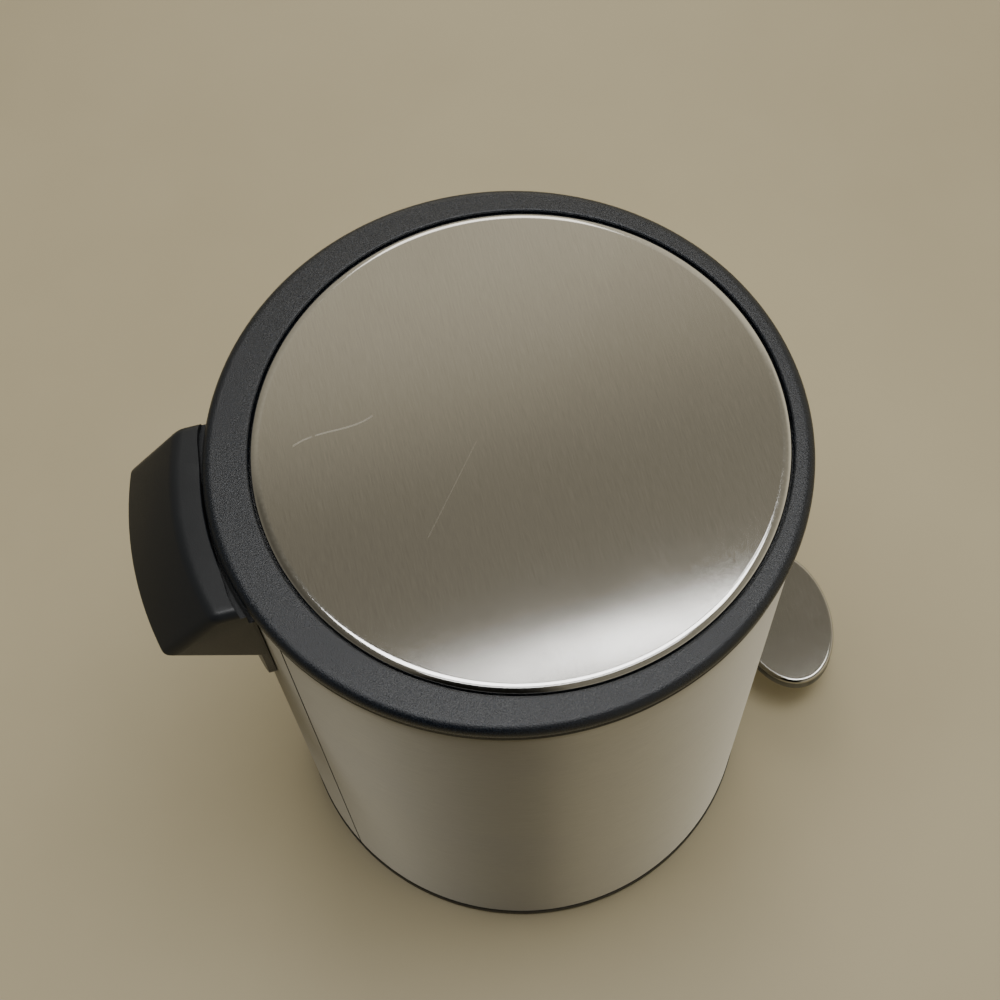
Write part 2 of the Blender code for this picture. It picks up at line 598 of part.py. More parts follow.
def make_bail():
    """The wire handle, folded down on the bucket's rim, with its plastic sleeve."""
    wire_r, bend = 1.25, 2.0
    half = arc(0, 0, BAIL_R, 180, 360, 28)
    points = [(x, y, BAIL_Z) for x, y in half]
    hook = [(5.3 - BAIL_R, 0, BAIL_Z), (bend - BAIL_R, 0, BAIL_Z), (0.5 - BAIL_R, -0.5, BAIL_Z)]
    points = hook + [(-BAIL_R, -bend, BAIL_Z)] + points[1:-1] + [(BAIL_R, -bend, BAIL_Z)]
    points += [(-x, y, z) for x, y, z in reversed(hook)]
    wire("bail_wire", points, wire_r, BAIL, BRIGHT)
    reach, inner, outer, sides = 16.0, wire_r + 0.35, 2.4, 8
    ring = [(BAIL_R + outer * cos(a), BAIL_Z + outer * sin(a)) for a in
            (2 * pi * i / sides for i in range(sides))]
    sleeve = turned("bail_grip", ring, BAIL, LINER, start=270 - reach, sweep=2 * reach, segments=10)
    bore = [(BAIL_R + inner * cos(a), BAIL_Z + inner * sin(a)) for a in
            (2 * pi * i / sides for i in range(sides))]
    cut(sleeve, turned("bail_grip_bore", bore, BAIL, start=269 - reach, sweep=2 * reach + 2,
                       segments=12))


# ---- assembly ----------------------------------------------------------------------------
make_outer_shell()
make_top_collar()
make_base_pan()
make_foot_pads()
make_hinge_bracket()
make_rear_grip()
make_rod_guide()
make_pedal_bracket()
rod("hinge_pin", HINGE_Y, HINGE_Z, PIN_R, -22, 22, BODY, BRIGHT, sides=12)
make_lid_ring()
make_lid_disc()
make_lid_liner()
make_lid_lever()
make_lid_bumpers()
make_pedal_lever()
make_pedal_pad()
make_push_rod()
make_inner_bucket()
make_bail()
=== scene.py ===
"""Looks of the small round pedal bin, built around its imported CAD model.

Sizes are in millimetres from the bin's own centre line, as the CAD has them, and go to metres in the
row frame when a mesh is made. The brushed steel, the grained plastic and the wear are all procedural.
"""
from math import acos, asin, atan2, cos, hypot, pi, radians, sin, sqrt, tan

import bmesh
import bpy
from mathutils import Matrix, Vector


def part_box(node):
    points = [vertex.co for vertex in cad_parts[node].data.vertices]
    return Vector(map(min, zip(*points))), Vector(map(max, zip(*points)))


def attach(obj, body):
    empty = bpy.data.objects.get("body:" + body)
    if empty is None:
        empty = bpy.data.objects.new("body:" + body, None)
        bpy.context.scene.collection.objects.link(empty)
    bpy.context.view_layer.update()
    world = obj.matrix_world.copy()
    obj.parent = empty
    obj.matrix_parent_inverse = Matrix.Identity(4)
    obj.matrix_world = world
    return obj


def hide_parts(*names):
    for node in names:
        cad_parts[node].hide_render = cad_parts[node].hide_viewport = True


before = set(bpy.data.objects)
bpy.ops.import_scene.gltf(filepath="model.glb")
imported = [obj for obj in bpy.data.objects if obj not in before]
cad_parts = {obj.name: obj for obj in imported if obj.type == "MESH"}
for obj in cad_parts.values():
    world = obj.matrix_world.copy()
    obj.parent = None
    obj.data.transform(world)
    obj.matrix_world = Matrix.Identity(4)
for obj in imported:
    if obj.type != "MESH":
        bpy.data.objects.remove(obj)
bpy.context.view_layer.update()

MM = 0.001
shell_low, shell_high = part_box("outer_shell")
CENTRE = Vector((0, (shell_low.y + shell_high.y) / 2, 0))     # foot of the bin's centre line
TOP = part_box("lid_ring")[1].z / MM          # top of the lid ring, 275
BODY_R = (shell_high.x - shell_low.x) / 2 / MM               # outside of the steel wall
DISC_Y = -4.5                               # the disc sits off centre, toward the pedal
HINGE = (97.5, TOP - 6.0)                   # y and z of the lid's axis
PIVOT = (-12.0, 14.5)                       # y and z of the pedal's axis
PEDAL_REST = -3.931                         # tilt of the pedal at rest, degrees
SEAM = radians(118.7)                       # where the body's upright seam is
GRIP_X = 37.8                               # half width of the grip
SCREWS_X, SCREW_Z = (-20, 20), 244          # the two screws that hold the grip
GRAIN = "grain"                             # UV map that the brush lines follow


# ---- nodes of a material -----------------------------------------------------------------
def add_node(tree, kind, values=None, **props):
    """A shader node; values set its inputs, or link them where the value is another node's socket."""
    made = tree.nodes.new("ShaderNode" + kind)
    for key, value in props.items():
        setattr(made, key, value)
    for key, value in (values or {}).items():
        if isinstance(value, bpy.types.NodeSocket):
            tree.links.new(value, made.inputs[key])
        else:
            made.inputs[key].default_value = value
    return made


class Look:
    """A material under construction: makes nodes, joins them and sets plain values."""

    def __init__(self, name, colour=(0.5, 0.5, 0.5), **values):
        self.mat = bpy.data.materials.new(name)
        self.mat.use_nodes = True
        self.tree = self.mat.node_tree
        self.shader = self.tree.nodes["Principled BSDF"]
        self.shader.inputs["Base Color"].default_value = (*colour, 1)
        for socket, value in values.items():
            self.shader.inputs[socket.replace("_", " ")].default_value = value
        self.mat.diffuse_color = (*colour, 1)

    def node(self, kind, values=None, **props):
        return add_node(self.tree, kind, values, **props)

    def link(self, source, socket):
        self.tree.links.new(source, self.shader.inputs[socket])

    def math(self, operation, a, b=0.0):
        return self.node("Math", {0: a, 1: b}, operation=operation).outputs[0]

    def place(self, scale=(1, 1, 1), uv=None):
        """Object or UV coordinates in metres, scaled."""
        if uv:
            source = self.node("UVMap", uv_map=uv).outputs[0]
        else:
            source = self.node("TexCoord").outputs["Object"]
        return self.node("Mapping", {0: source, "Scale": scale}).outputs[0]

    def noise(self, scale=(1, 1, 1), detail=2.0, rough=0.5, uv=None):
        values = {"Vector": self.place(scale, uv), "Scale": 1.0, "Detail": detail, "Roughness": rough}
        return self.node("TexNoise", values).outputs[0]

    def span(self, value, low, high, to_low=0.0, to_high=1.0, kind="SMOOTHSTEP"):
        values = {"Value": value, "From Min": low, "From Max": high, "To Min": to_low, "To Max": to_high}
        return self.node("MapRange", values, interpolation_type=kind).outputs[0]

    def mix(self, factor, a, b):
        """A blend of two colours, each a node's socket or (r, g, b)."""
        a, b = (c if isinstance(c, bpy.types.NodeSocket) else (*c, 1) for c in (a, b))
        return self.node("Mix", {0: factor, 6: a, 7: b}, data_type="RGBA").outputs[2]

    def clouded(self, cloud, dark, light, low=0.3, rough=None):
        """Sets blotches of two tones, and of two levels of roughness, by a noise."""
        self.link(self.mix(self.span(cloud, low, 0.7), dark, light), "Base Color")
        if rough:
            self.link(self.span(cloud, 0.3, 0.7, *rough), "Roughness")

    def bump(self, height, distance, before=None):
        values = {"Strength": 1.0, "Distance": distance, "Height": height}
        if before is not None:
            values["Normal"] = before
        return self.node("Bump", values).outputs[0]


def brushed_steel(name, colour, roughness, streak, wave=0.0, contrast=1.0, anisotropy=1.0, marks=None):
    """Brushed sheet. The UV map's first axis lies across the brush lines; streak is the depth of the
    lines, wave the depth of the slow dents, contrast the spread of their tones."""
    k = Look(name, colour, Metallic=1.0, Roughness=roughness, Anisotropic=anisotropy)
    tangent = k.node("Tangent", direction_type="UV_MAP", uv_map=GRAIN)
    k.link(tangent.outputs[0], "Tangent")
    # noise cells per metre: across the lines, along them
    fine = k.noise((4600, 170, 1), 3.0, 0.65, GRAIN)
    broad = k.noise((1500, 50, 1), 2.0, 0.5, GRAIN)
    cloud = k.noise((9, 9, 1), 3.0, 0.6, GRAIN)
    tone = k.span(k.math("ADD", k.math("MULTIPLY", fine, 0.75), k.math("MULTIPLY", broad, 0.25)),
                  0.36, 0.64, 0.0, 1.0, "LINEAR")
    dark = tuple(c * (1 - 0.16 * contrast) for c in colour)
    light = tuple(min(1, c * (1 + 0.12 * contrast)) for c in colour)
    base = k.mix(tone, dark, light)
    base = k.mix(k.span(cloud, 0.42, 0.62, 0.0, 0.10), base, (0.43, 0.40, 0.37))
    rough = k.math("ADD", k.span(fine, 0.3, 0.7, -0.03, 0.03, "LINEAR"), roughness)
    rough = k.math("ADD", rough, k.span(cloud, 0.45, 0.65, 0.0, 0.03))
    if marks:
        mark = marks(k)
        base = k.mix(mark, base, (0.93, 0.91, 0.87))
        rough = k.math("ADD", rough, k.math("MULTIPLY", mark, 0.45))
    k.link(base, "Base Color")
    k.link(rough, "Roughness")
    normal = None
    if wave:
        normal = k.bump(k.noise((10, 7, 1), 1.0, 0.4, GRAIN), wave)
    lines = k.math("ADD", k.math("MULTIPLY", fine, 0.5), k.math("MULTIPLY", broad, 1.6))
    k.link(k.bump(lines, 0.0000035 * streak, before=normal), "Normal")
    return k


def lid_marks(k):
    """The lid's wear: one curved scratch, one faint straight one and a few dull specks."""
    def away(value, place):
        return k.math("ABSOLUTE", k.math("SUBTRACT", value, place))
    split = k.node("SeparateXYZ", {0: k.place((1000, 1000, 1000))}).outputs
    x, y = split[0], k.math("SUBTRACT", split[1], CENTRE.y / MM)
    # the curved scratch runs along y, bends away at both ends and breaks off once
    scratch_x, scratch_y, half_length, bend_by, break_y = 18.4, 57.0, 14.6, 2.3, 63.9
    t = k.math("DIVIDE", k.math("SUBTRACT", y, scratch_y), half_length)
    bend = k.math("MULTIPLY", k.math("POWER", k.math("ABSOLUTE", t), 3.0), bend_by)
    bend = k.math("MULTIPLY", bend, k.math("SIGN", t))
    off = k.math("ABSOLUTE", k.math("ADD", k.math("SUBTRACT", x, scratch_x), bend))
    deep = k.math("MULTIPLY", k.span(off, 0.18, 0.42, 1.0, 0.0),
                  k.span(k.math("ABSOLUTE", t), 0.96, 1.02, 1.0, 0.0))
    deep = k.math("MULTIPLY", deep, k.span(away(y, break_y), 0.3, 0.8))
    # the faint scratch is straight and slanting: its direction, its place aside and along, its length
    slant_x, slant_y, faint_aside, faint_along, faint_half = 0.788, 0.616, 9.1, -24.8, 19.0
    along = k.math("ADD", k.math("MULTIPLY", x, slant_x), k.math("MULTIPLY", y, -slant_y))
    aside = k.math("ADD", k.math("MULTIPLY", x, slant_y), k.math("MULTIPLY", y, slant_x))
    faint = k.math("MULTIPLY", k.span(away(aside, faint_aside), 0.08, 0.3, 0.22, 0.0),
                   k.span(away(along, faint_along), faint_half, faint_half + 1.5, 1.0, 0.0))
    cells = k.node("TexVoronoi", {"Vector": k.place((70, 70, 70)), "Scale": 1.0})
    speck = k.math("MULTIPLY", k.span(cells.outputs["Distance"], 0.010, 0.022, 0.35, 0.0),
                   k.span(k.noise((40, 40, 40)), 0.50, 0.56))
    return k.math("MAXIMUM", k.math("MAXIMUM", deep, faint), speck)


def plastic(name, colour, roughness, grain, depth, speck, specular=0.5):
    """Moulded plastic with a spark-eroded grain, slightly worn and dusty. grain is in cells per metre,
    depth is the grain's height in metres, and speck is how much lighter its high spots are."""
    k = Look(name, colour, Roughness=roughness, Specular_IOR_Level=specular)
    pits = k.noise((grain, grain, grain), 3.0, 0.6)
    coarse = k.noise((grain * 0.5,) * 3, 2.0, 0.5)
    cloud = k.noise((14, 14, 14), 4.0, 0.6)
    light = tuple(min(1, c * (1 + speck * 2.2) + 0.002) for c in colour)
    base = k.mix(k.span(pits, 0.5, 0.72, 0.0, speck), colour, light)
    k.link(base, "Base Color")
    rough = k.math("ADD", k.span(cloud, 0.35, 0.7, -0.05, 0.05), roughness)
    rough = k.math("ADD", rough, k.span(pits, 0.35, 0.65, -0.04, 0.05))
    k.link(rough, "Roughness")
    height = k.math("ADD", pits, k.math("MULTIPLY", coarse, 0.4))
    k.link(k.bump(height, depth), "Normal")
    return k


# ---- outlines ----------------------------------------------------------------------------
def fillet(points, steps=5, closed=False):
    """Rounds the corners of a polyline. A point is (a, b) or (a, b, radius)."""
    made = []
    count = len(points)
    for i, point in enumerate(points):
        p = Vector(point[:2])
        r = point[2] if len(point) > 2 else 0.0
        if r <= 0 or (not closed and i in (0, count - 1)):
            made.append((p.x, p.y))
            continue
        to_a = Vector(points[i - 1][:2]) - p
        to_b = Vector(points[(i + 1) % count][:2]) - p
        la, lb = to_a.length, to_b.length
        to_a.normalize()
        to_b.normalize()
        half = acos(max(-1.0, min(1.0, to_a.dot(to_b)))) / 2
        if half > radians(89.5):
            made.append((p.x, p.y))
            continue
        before, after = points[i - 1], points[(i + 1) % count]
        reach = min(r / tan(half), la * (0.49 if len(before) > 2 else 0.98),
                    lb * (0.49 if len(after) > 2 else 0.98))
        r = reach * tan(half)
        middle = p + (to_a + to_b).normalized() * (r / sin(half))
        start, end = p + to_a * reach - middle, p + to_b * reach - middle
        turn = start.angle_signed(end) * -1
        for s in range(steps + 1):
            a = turn * s / steps
            q = Vector((start.x * cos(a) - start.y * sin(a), start.x * sin(a) + start.y * cos(a)))
            made.append((middle.x + q.x, middle.y + q.y))
    return made


def circle(sides, start=0.0):
    return [start + 2 * pi * i / sides for i in range(sides)]


# ---- meshes ------------------------------------------------------------------------------
def finish_mesh(name, bm, sharp=32):
    bmesh.ops.remove_doubles(bm, verts=bm.verts, dist=1e-5)
    bmesh.ops.recalc_face_normals(bm, faces=bm.faces)
    for v in bm.verts:
        v.co = v.co * MM + CENTRE
    mesh = bpy.data.meshes.new(name)
    bm.to_mesh(mesh)
    bm.free()
    mesh.shade_smooth()
    mesh.set_sharp_from_angle(angle=radians(sharp))
    return mesh


def piece(name, mesh, body, look, stands_for=()):
    obj = bpy.data.objects.new(name, mesh)
    bpy.context.scene.collection.objects.link(obj)
    obj.data.materials.append(look.mat)
    if body:
        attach(obj, body)
    if stands_for:
        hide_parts(*stands_for)
    return obj


def loft(loops, caps=False, around=False):
    """Joins closed loops of equally many points. caps fills both ends, around joins last to first."""
    bm = bmesh.new()
    rows = [[bm.verts.new(p) for p in loop] for loop in loops]
    pairs = list(zip(rows, rows[1:]))
    if around:
        pairs.append((rows[-1], rows[0]))
    for a, b in pairs:
        for i in range(len(a)):
            j = (i + 1) % len(a)
            bm.faces.new((a[i], a[j], b[j], b[i]))
    if caps:
        bm.faces.new(rows[0])
        bm.faces.new(list(reversed(rows[-1])))
    return bm


def turned(profile, turns, shift=0.0, wobble=None):
    """A profile of (r, z) or (r, z, shift_y) points turned about the centre line."""
    loops = []
    for r, z, *own_shift in profile:
        dy = own_shift[0] if own_shift else shift
        radii = [r * wobble(a, r) if wobble else r for a in turns]
        loops.append([(ra * cos(a), dy + ra * sin(a), z) for ra, a in zip(radii, turns)])
    return loft(loops, around=True)


def swept(profile, turns):
    """A closed profile turned through part of a circle, with flat ends."""
    return loft([[(r * cos(a), r * sin(a), z) for r, z in profile] for a in turns], caps=True)


def block(low, high):
    bm = bmesh.new()
    bmesh.ops.create_cube(bm, size=1.0)
    for v in bm.verts:
        v.co = Vector((low[i] + (v.co[i] + 0.5) * (high[i] - low[i]) for i in range(3)))
    return bm


def prism(outline, low, high, along="y"):
    """An outline extruded along an axis; the outline's numbers are the other two, in order."""
    def put(a, b, c):
        return {"x": (c, a, b), "y": (a, c, b), "z": (a, b, c)}[along]
    loops = [[put(a, b, c) for a, b in outline] for c in (low, high)]
    return loft(loops, caps=True)


def barrel(a, b, r, low, high, along="z", sides=40):
    outline = [(a + r * cos(t), b + r * sin(t)) for t in circle(sides)]
    return prism(outline, low, high, along)


def holder(name, bm):
    """A cutter or an added lump: a mesh object that is used and then thrown away."""
    obj = bpy.data.objects.new(name, finish_mesh(name, bm))
    bpy.context.scene.collection.objects.link(obj)
    return obj


def carve(obj, cutters, operation="DIFFERENCE", sharp=32):
    """Cuts or joins with each bmesh in turn and keeps the result as plain mesh."""
    helpers = []
    for n, cutter in enumerate(cutters):
        helper = cutter if isinstance(cutter, bpy.types.Object) else holder(f"{obj.name}_cut_{n}", cutter)
        helpers.append(helper)
        step = obj.modifiers.new(f"step_{n}", "BOOLEAN")
        step.operation = operation
        step.solver = "EXACT"
        step.object = helper
    bpy.context.view_layer.update()
    shown = obj.evaluated_get(bpy.context.evaluated_depsgraph_get())
    mesh = bpy.data.meshes.new_from_object(shown)
    obj.modifiers.clear()
    obj.data = mesh
    mesh.set_sharp_from_angle(angle=radians(sharp))
    for helper in helpers:
        bpy.data.objects.remove(helper)
    return obj


def lay_uv(mesh, rule):
    """The grain map in metres: rule takes a point in mm from the centre line and gives (u, v) in mm."""
    layer = mesh.uv_layers.new(name=GRAIN)
    for poly in mesh.polygons:
        middle = (poly.center - CENTRE) / MM
        for loop in poly.loop_indices:
            p = (mesh.vertices[mesh.loops[loop].vertex_index].co - CENTRE) / MM
            u, v = rule(p, middle)
            layer.data[loop].uv = (u * MM, v * MM)


# ---- looks -------------------------------------------------------------------------------
def upright_uv(p, middle):
    """Up the wall, and round it from the seam."""
    def turn(q):
        return (atan2(q.y, q.x) - SEAM) % (2 * pi)
    t, m = turn(p), turn(middle)
    if t - m > pi:
        t -= 2 * pi
    elif m - t > pi:
        t += 2 * pi
    return p.z, t * BODY_R


def level_uv(p, _middle):
    return p.y, p.x


disc_steel = brushed_steel("disc_brushed_steel", (0.60, 0.59, 0.565), 0.155, 1.5, contrast=0.45,
                           marks=lid_marks)
rim_steel = Look("rim_polished_steel", (0.58, 0.575, 0.56), Metallic=1.0, Roughness=0.10)
rim_steel.clouded(rim_steel.noise((900, 900, 900), 3.0), (0.56, 0.555, 0.54), (0.60, 0.595, 0.58),
                  rough=(0.08, 0.13))
body_steel = brushed_steel("body_brushed_steel", (0.50, 0.48, 0.415), 0.54, 0.4, wave=0.00035, contrast=0.6)
pedal_steel = brushed_steel("pedal_brushed_steel", (0.45, 0.44, 0.41), 0.10, 0.2, contrast=0.5,
                            anisotropy=0.5)
# painted shade: the pad's sides get a dark steel colour that stands for the shadow under the pad which they
# reflect; their higher roughness is real
skirt_painted_shade = brushed_steel("pedal_side_painted_shade_steel", (0.17, 0.17, 0.16), 0.35, 0.4)
ring_plastic = plastic("ring_grained_plastic", (0.0020, 0.0042, 0.0086), 0.285, 2700, 0.00013, 1.0)
grip_plastic = plastic("grip_satin_plastic", (0.0122, 0.0140, 0.0170), 0.37, 2200, 0.00003, 0.15, 0.32)
collar_plastic = plastic("collar_satin_plastic", (0.008, 0.0085, 0.0095), 0.65, 1800, 0.00003, 0.15)
foot_plastic = plastic("foot_satin_plastic", (0.010, 0.011, 0.012), 0.55, 1800, 0.00003, 0.15)
liner_plastic = plastic("liner_grey_plastic", (0.048, 0.050, 0.054), 0.50, 900, 0.00004, 0.20)
bucket_plastic = plastic("bucket_grey_plastic", (0.040, 0.042, 0.046), 0.46, 1100, 0.00003, 0.20)
rubber = plastic("black_rubber", (0.014, 0.014, 0.015), 0.80, 700, 0.00008, 0.20)
# painted shade: a dark look laid in the bottom of the body's seam, standing for the shadow in the gap
# between the sheet edges
seam_painted_shade = Look("seam_groove_painted_shade", (0.03, 0.028, 0.025), Metallic=0.6, Roughness=0.7)
seam_painted_shade.clouded(seam_painted_shade.noise((400, 400, 400)), (0.02, 0.019, 0.017), (0.05, 0.047, 0.042))
zinc = Look("zinc_plate", (0.62, 0.62, 0.60), Metallic=1.0, Roughness=0.30)
zinc.clouded(zinc.noise((120, 120, 120), 4.0, 0.6), (0.50, 0.51, 0.50), (0.68, 0.67, 0.63), 0.35,
             rough=(0.22, 0.42))
zinc.link(zinc.bump(zinc.noise((1800, 1800, 1800)), 0.000012), "Normal")


# ---- body --------------------------------------------------------------------------------
def make_shell():
    low, top = 7.0, 267.0
    inner = BODY_R - 0.7
    groove = 0.35                           # depth of the seam
    step = 0.5 / BODY_R                     # half width of the seam, as an angle
    edges = [SEAM - step, SEAM - step * 0.7, SEAM + step * 0.7, SEAM + step]
    turns = sorted([SEAM + 2 * pi * i / 288 for i in range(1, 288)]
                   + [e + 2 * pi * (e < SEAM) for e in edges])

    def wobble(a, r):
        off = abs((a - SEAM + pi) % (2 * pi) - pi)
        return (r - groove) / r if off < step * 0.8 and r > inner + 0.5 else 1.0
    profile = [(BODY_R, low), (BODY_R, 60), (BODY_R, 130), (BODY_R, 200), (BODY_R, top), (inner, top),
               (inner, 130), (inner, low)]
    bm = turned(profile, turns, wobble=wobble)
    obj = piece("body_sheet", finish_mesh("body_sheet", bm), "body", body_steel, ["outer_shell"])
    slot = fillet([(-10.5, 10, 3), (10.5, 10, 3), (10.5, 33, 3), (-10.5, 33, 3)], 6, True)
    carve(obj, [prism(slot, -120, -80), block((-36, 60, 261.5), (36, 120, 280)),
                *(barrel(x, SCREW_Z, 2.3, 60, 120, "y") for x in SCREWS_X)])
    lay_uv(obj.data, upright_uv)
    # the bottom of the seam gets painted shade: a dark look for the shadow in the gap
    obj.data.materials.append(seam_painted_shade.mat)
    for poly in obj.data.polygons:
        q = (poly.center - CENTRE) / MM
        off = abs((atan2(q.y, q.x) - SEAM + pi) % (2 * pi) - pi) * BODY_R
        if off < 0.49 and hypot(q.x, q.y) < BODY_R - 0.05 and hypot(q.x, q.y) > inner + 0.1:
            poly.material_index = 1


def make_collar():
    gap = asin(36.6 / 99.8)
    outline = fillet([(104.6, 267.3), (104.6, 270, 0.8), (99.8, 270, 1.0), (99.8, 250, 0.5),
                      (102.6, 250, 0.5), (102.6, 267.3)], 4, True)
    turns = [pi / 2 + gap + (2 * pi - 2 * gap) * i / 220 for i in range(221)]
    piece("collar", finish_mesh("collar", swept(outline, turns)), "body", collar_plastic, ["top_collar"])


def make_foot():
    outline = fillet([(0.01, 4.6), (100, 4.6, 1), (100, 18, 0.8), (102.6, 18, 0.8), (102.6, 7),
                      (104, 7, 0.5), (104, 0.8, 1.2), (96, 0.8, 0.8), (95, 2.6, 0.6), (0.01, 2.6)], 4, True)
    obj = piece("foot_pan", finish_mesh("foot_pan", turned(outline, circle(240))), "body", foot_plastic,
                ["base_pan"])
    posts = [barrel(x, y, 5.0, 3.6, 35.7) for x in (-48, 48) for y in (-48, 48)]
    carve(obj, posts, "UNION")
    slot = block((-12, -115, 9), (12, -90, 25))
    carve(obj, [slot, barrel(-18, -12, 1.8, 0, 9), barrel(18, -12, 1.8, 0, 9)])


def curved(x, r, z):
    return x, sqrt(r * r - x * x), z


def inset(corners, by):
    """Moves each side of a polygon in by its own share of a distance; corners are (a, b, radius,
    share of the side that starts there)."""
    count = len(corners)
    sides = []
    for i, (a, b, _, share) in enumerate(corners):
        p, q = Vector((a, b)), Vector(corners[(i + 1) % count][:2])
        along = (q - p).normalized()
        sides.append((p + Vector((-along.y, along.x)) * by * share, along))
    made = []
    for i, (_, _, r, _) in enumerate(corners):
        (p, u), (q, v) = sides[i - 1], sides[i]
        cross = u.x * v.y - u.y * v.x
        t = ((q - p).x * v.y - (q - p).y * v.x) / cross
        x = p + u * t
        made.append((x.x, x.y, max(r - by, 0.25)) if r else (x.x, x.y))
    return made


def make_grip():
    """The wedge is lofted across the bin, its section shrinking over the last few millimetres so that
    the ends are rounded. The flange against the steel joins it, and the hollow is cut from below."""
    section = [(105.0, 226.87, 0, 1), (136.1, 248.9, 1.2, 1), (115.64, 269.5, 6.5, 1),
               (106.1, 269.5, 0.5, 0), (106.1, 261.0, 0, 0), (105.0, 261.0, 0, 0)]
    round_r = 3.2
    ends = [(GRIP_X - round_r + round_r * sin(radians(a)), round_r * (1 - cos(radians(a))))
            for a in (0, 10, 20, 31, 42, 53, 64, 76, 90)]
    flat = GRIP_X - round_r
    stations = [(-x, by) for x, by in reversed(ends)]
    stations += [(-flat + 2 * flat * i / 36, 0.0) for i in range(1, 36)] + ends
    loops = [[curved(x, r, z) for r, z in fillet(inset(section, by), 6, True)] for x, by in stations]
    obj = piece("carry_grip", finish_mesh("carry_grip", loft(loops, caps=True), 50),
                "body", grip_plastic, ["rear_grip"])
    # the flange against the steel, with round lower corners
    wide = GRIP_X - 0.1
    ring = [(104.0, 200), (106.6, 200), (106.6, 262), (104.0, 262)]
    across = [-40 + 80 * i / 64 for i in range(65)]
    bent = loft([[curved(x, r, z) for r, z in ring] for x in across], caps=True)
    flange = holder("flange", bent)
    plate = fillet([(-wide, 206, 8.3), (wide, 206, 8.3), (wide, 261.0, 0.8), (-wide, 261.0, 0.8)], 8, True)
    carve(flange, [prism(plate, 60, 140)], "INTERSECT")
    # screw bosses; the hollow, cut after them, trims them level with the flange
    carve(flange, [barrel(x, SCREW_Z, 4.5, 103.2, 107.6, "y") for x in SCREWS_X], "UNION")
    carve(obj, [flange], "UNION", 50)
    outline = fillet([(106.7, 200), (106.7, 264.2), (107.8, 264.2), (111.6, 267.1), (114.5, 267.1, 1.5),
                      (132.8, 248.8, 0.8), (132.8, 200)], 5, True)
    inner = GRIP_X - 2.4
    loops = [[curved(x, r, z) for r, z in outline] for x in [-inner + 2 * inner * i / 30 for i in range(31)]]
    carve(obj, [loft(loops, caps=True)], sharp=50)
    carve(obj, [barrel(x, SCREW_Z, 2.2, 95, 106.9, "y") for x in SCREWS_X], sharp=50)
    # both ends of the top's inner edge step back, so that the lid's rear edge can swing past
    reach = [(15, 99), (15, 105.2), (20, 104.6), (25, 104.05), (30, 103.6), (34, 102.75), (36, 102.0),
             (39, 100.6), (39, 99)]
    carve(obj, [prism([(sign * x, y) for x, y in reach], 266.3, 272, "z") for sign in (-1, 1)], sharp=50)


# ---- lid ---------------------------------------------------------------------------------
def make_ring():
    outer = fillet([(102.2, TOP - 2.5), (102.2, TOP - 4.4, 0.3), (105.0, TOP - 4.4, 0.5), (105.0, TOP - 3.7),
                    (105.0, TOP, 3.5), (101.4, TOP)], 7)
    inner = fillet([(94.9, TOP), (93.4, TOP, 0.8), (93.4, 270.2), (86, 270.2, 0.4), (86, 268.2, 0.4),
                    (94.6, 268.2), (94.6, TOP - 2.5)], 6)
    profile = [(r, z, 0.0) for r, z in outer] + [(r, z, DISC_Y) for r, z in inner]
    obj = piece("lid_frame", finish_mesh("lid_frame", turned(profile, circle(288)), 40), "lid", ring_plastic,
                ["lid_ring"])
    y, z = HINGE
    eye = [(y + 3.2 * cos(t), z + 3.2 * sin(t)) for t in [pi + pi * i / 16 for i in range(17)]]
    eye += [(y + 3.2, TOP - 1.5), (y - 3.2, TOP - 1.5)]
    carve(obj, [prism(eye, -21, -15, "x"), prism(eye, 15, 21, "x")], "UNION", 40)
    carve(obj, [barrel(y, z, 1.55, -30, 30, "x")], sharp=40)


def make_disc():
    """Flat on top, then easing over by bend on a wide radius and turning down on a tight one."""
    easy, tight, bend = 5.2, 0.9, radians(34)
    start = 92.7 - tight - (easy - tight) * sin(bend)
    outer = [(60, TOP + 0.3), (start - 0.08, TOP + 0.3)]
    for i in range(10):
        t = bend * i / 9
        outer.append((start + easy * sin(t), TOP + 0.3 - easy * (1 - cos(t))))
    r, z = outer[-1][0] - tight * sin(bend), outer[-1][1] - tight * cos(bend)
    for i in range(1, 7):
        t = bend + (pi / 2 - bend) * i / 6
        outer.append((r + tight * sin(t), z + tight * cos(t)))
    outer.append((92.7, 270.6))
    inner = fillet([(91.9, 270.6), (91.9, TOP - 2.2, 1.2), (start, TOP - 0.5), (60, TOP - 0.5)], 4)
    profile = [(0.01, TOP + 0.3)] + outer + inner + [(0.01, TOP - 0.5)]
    obj = piece("lid_plate", finish_mesh("lid_plate", turned(profile, circle(288), DISC_Y)), "lid",
                disc_steel, ["lid_disc"])
    lay_uv(obj.data, level_uv)
    # the turned-down rim is polished
    obj.data.materials.append(rim_steel.mat)
    for poly in obj.data.polygons:
        q = (poly.center - CENTRE) / MM
        if hypot(q.x, q.y - DISC_Y) > start:
            poly.material_index = 1


# ---- pedal -------------------------------------------------------------------------------
def pedal_place(mesh):
    """From the pedal's own drawing, level about its axle, to its place at rest."""
    move = (Matrix.Translation(CENTRE + Vector((0, PIVOT[0], PIVOT[1])) * MM)
            @ Matrix.Rotation(radians(PEDAL_REST), 4, "X") @ Matrix.Translation(-CENTRE))
    mesh.transform(move)


